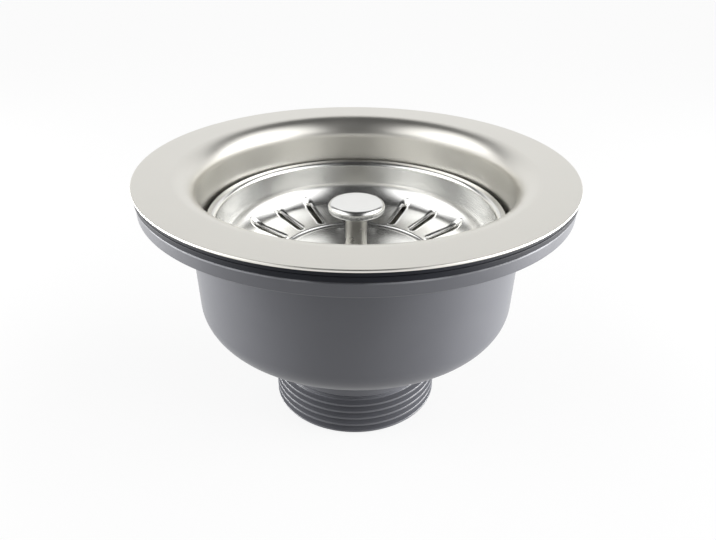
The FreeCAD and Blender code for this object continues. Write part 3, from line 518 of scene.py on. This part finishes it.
# Polished stainless: bright and cool, with blurred reflections and thin smears left by the polishing
SMEAR = 6
bright_steel, tree = new_finish("polished_stainless_steel")
place = add(tree, "ShaderNodeTexCoord", {})
smears = add(tree, "ShaderNodeTexNoise", {"Scale": per_mm(SMEAR), "Detail": 5.0, "Roughness": 0.6},
             {"Vector": place.outputs["Object"]})
tint = add(tree, "ShaderNodeMix", {"data_type": "RGBA", 6: linear("#ececea"), 7: linear("#f3f3f1")},
           {0: smears.outputs["Fac"]})
polish = add(tree, "ShaderNodeMapRange", {"From Min": 0.3, "From Max": 0.7, "To Min": 0.2, "To Max": 0.27},
             {"Value": smears.outputs["Fac"]})
shader = add(tree, "ShaderNodeBsdfPrincipled", {"Metallic": 1.0},
             {"Base Color": tint.outputs[2], "Roughness": polish.outputs[0]})
add(tree, "ShaderNodeOutputMaterial", {}, {"Surface": shader.outputs[0]})
dress(basket, bright_steel)
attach(basket, "basket")
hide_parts("basket_shell")

# Post: turned from stainless bar and left plain, with a flared foot that stands on the basket's crown.
# A tenon on top takes the knob, and the spigot below goes through the crown to its washer and nut.
post = draw_section("basket_post", [
    (0, 58.8, 0), (2.0, 58.8, 0), (2.0, 56.2, 0), (3.0, 56.2, 0), (3.0, 46.3, 1.7), (4.8, 46.3, 0),
    (4.8, 45.4, 0.1), (2.5, 45.4, 0), (2.5, 38.4, 0.1), (1.55, 38.4, 0), (1.55, 47.2, 0), (0, 47.2, 0),
], closed=False)
spin_round(SMALL_STEPS)
soft_shade(post)
dress(post, plain_steel)
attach(post, "basket")
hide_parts("basket_stem")

# Knob: a turned and polished stainless button on a short cone, pressed on the tenon.
# Its top is flat with a rounded edge, wide enough to lift the basket by.
KNOB_STEPS = 128
knob = draw_section("lift_knob", [
    (0, 60.6, 0), (7.7, 60.6, 1.3), (7.7, 58.4, 0.5), (3.4, 56.2, 0.2), (2.03, 56.2, 0), (2.03, 58.83, 0),
    (0, 58.83, 0),
], closed=False)
spin_round(KNOB_STEPS)
soft_shade(knob)
dress(knob, bright_steel)
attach(knob, "basket")
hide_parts("pull_knob")

# Washers, nut and small screw under the basket: bought fasteners of plain stainless steel.
# The nut holds the post to the crown, and the screw and its washer keep the stopper on the post.
for node in ("stem_washer", "stem_nut", "retaining_washer", "retaining_screw"):
    dress(nodes[node], plain_steel)

# Studio: a white table in a room with a broad soft light on each side and a white wall behind.
# The room is dark between the two lights and in a band over the back wall, and the steel shows both.
# A low pale wall runs all round, so that the background is white from behind as well.
TABLE_SIZE, CLOTH = 6, 40
bpy.ops.object.select_all(action="DESELECT")
bpy.ops.mesh.primitive_plane_add(size=TABLE_SIZE)
table = bpy.context.object
table.name = "table"
# White table: rays that only carry light on find it mid-grey, and the eye and mirrors find it near white
WHITE_SHARE = 0.86
white_table, tree = new_finish("white_table")
place = add(tree, "ShaderNodeTexCoord", {})
rays = add(tree, "ShaderNodeLightPath", {})
cloth = add(tree, "ShaderNodeTexNoise", {"Scale": per_mm(CLOTH), "Detail": 2.0},
            {"Vector": place.outputs["Object"]})
mirrored = add(tree, "ShaderNodeMath", {"operation": "ADD"},
               {0: rays.outputs["Is Glossy Ray"], 1: rays.outputs["Is Transmission Ray"]})
seen = add(tree, "ShaderNodeMath", {"operation": "ADD", "use_clamp": True},
           {0: rays.outputs["Is Camera Ray"], 1: mirrored.outputs[0]})
dull = add(tree, "ShaderNodeMix", {"data_type": "RGBA", 6: linear("#868686"), 7: linear("#8c8c8c")},
           {0: cloth.outputs["Fac"]})
tint = add(tree, "ShaderNodeMix", {"data_type": "RGBA", 7: linear("#f2f2f2")},
           {0: seen.outputs[0], 6: dull.outputs[2]})
matt = add(tree, "ShaderNodeBsdfDiffuse", {}, {"Color": tint.outputs[2]})
glow = add(tree, "ShaderNodeEmission", {"Color": (1, 1, 1, 1), "Strength": 1.0})
share = add(tree, "ShaderNodeMath", {"operation": "MULTIPLY", 1: WHITE_SHARE}, {0: seen.outputs[0]})
blend = add(tree, "ShaderNodeMixShader", {}, {0: share.outputs[0], 1: matt.outputs[0], 2: glow.outputs[0]})
add(tree, "ShaderNodeOutputMaterial", {}, {"Surface": blend.outputs[0]})
dress(table, white_table)

# The room's parts have soft edges, each rising from 0 to 1 between two values of the direction looked in
LEFT_LIGHT, RIGHT_LIGHT, UPPER_LIGHT, DARK, WHITE = 1.2, 1.8, 1.5, 0.04, 1.0
room = bpy.data.worlds.new("studio_room")
bpy.context.scene.world = room
room.use_nodes = True
tree = room.node_tree
tree.nodes.clear()
place = add(tree, "ShaderNodeTexCoord", {})
look = add(tree, "ShaderNodeSeparateXYZ", {}, {"Vector": place.outputs["Generated"]})
aside = add(tree, "ShaderNodeMath", {"operation": "ABSOLUTE"}, {0: look.outputs["X"]})
soft = {}
for side, across, start, end in (
    ("beside", aside.outputs[0], 0.32, 0.52),
    ("over", look.outputs["Z"], 0.25, 0.5),
    ("before", look.outputs["Y"], 0.5, 0.3),
    ("left", look.outputs["X"], -0.6, -0.9),
    ("right", look.outputs["X"], 0.6, 0.9),
    ("low", look.outputs["Z"], 0.22, 0.14),
    ("behind", look.outputs["Y"], 0.62, 0.78),
):
    soft[side] = add(tree, "ShaderNodeMapRange",
                     {"interpolation_type": "SMOOTHSTEP", "From Min": start, "From Max": end},
                     {"Value": across}).outputs[0]
sides = add(tree, "ShaderNodeMath", {"operation": "MULTIPLY"}, {0: soft["beside"], 1: soft["over"]})
upper = add(tree, "ShaderNodeMath", {"operation": "MULTIPLY"}, {0: sides.outputs[0], 1: soft["before"]})
left = add(tree, "ShaderNodeMath", {"operation": "MULTIPLY_ADD", 1: LEFT_LIGHT, 2: DARK}, {0: soft["left"]})
right = add(tree, "ShaderNodeMath", {"operation": "MULTIPLY_ADD", 1: RIGHT_LIGHT},
            {0: soft["right"], 2: left.outputs[0]})
lights = add(tree, "ShaderNodeMath", {"operation": "MULTIPLY_ADD", 1: UPPER_LIGHT},
             {0: upper.outputs[0], 2: right.outputs[0]})
low_wall = add(tree, "ShaderNodeMath", {"operation": "MAXIMUM"}, {0: soft["low"], 1: lights.outputs[0]})
walls = add(tree, "ShaderNodeMix", {"data_type": "FLOAT", 3: WHITE}, {0: soft["behind"], 2: low_wall.outputs[0]})
lit = add(tree, "ShaderNodeBackground", {"Strength": 1.0}, {"Color": walls.outputs[0]})
add(tree, "ShaderNodeOutputWorld", {}, {"Surface": lit.outputs[0]})

# Two low strip lights stand beside the body, under the level of the rim
STRIP_LONG, STRIP_HIGH = 0.3, 0.06
BODY_MIDDLE = Vector((0, 0, 0.035))
for name, at, power in (("left_strip", (-0.4, 0.02, 0.03), 2.8), ("right_strip", (0.4, -0.02, 0.03), 4.0)):
    bpy.ops.object.light_add(type="AREA", location=at)
    lamp = bpy.context.object
    lamp.name = name
    lamp.data.shape = "RECTANGLE"
    lamp.data.size, lamp.data.size_y = STRIP_LONG, STRIP_HIGH
    lamp.data.energy = power
    lamp.rotation_euler = (BODY_MIDDLE - lamp.location).to_track_quat("-Z", "Y").to_euler()

# The camera stands before the object and looks down on it, as the photograph does
CAMERA_PAN, CAMERA_TILT, CAMERA_ROLL = -0.0034, 0.504276, 0.00907
bpy.ops.object.camera_add(location=(0, -0.16552, 0.13098))
camera = bpy.context.object
camera.rotation_euler = (Matrix.Rotation(CAMERA_PAN, 4, "Z") @ Matrix.Rotation(math.pi / 2 - CAMERA_TILT, 4, "X")
                         @ Matrix.Rotation(CAMERA_ROLL, 4, "Z")).to_euler()
camera.data.sensor_fit = "HORIZONTAL"
camera.data.sensor_width = 36
camera.data.lens = 33.37
camera.data.clip_start = 0.005
camera.data.clip_end = 50
bpy.context.scene.camera = camera
bpy.context.scene.view_settings.view_transform = "Standard"
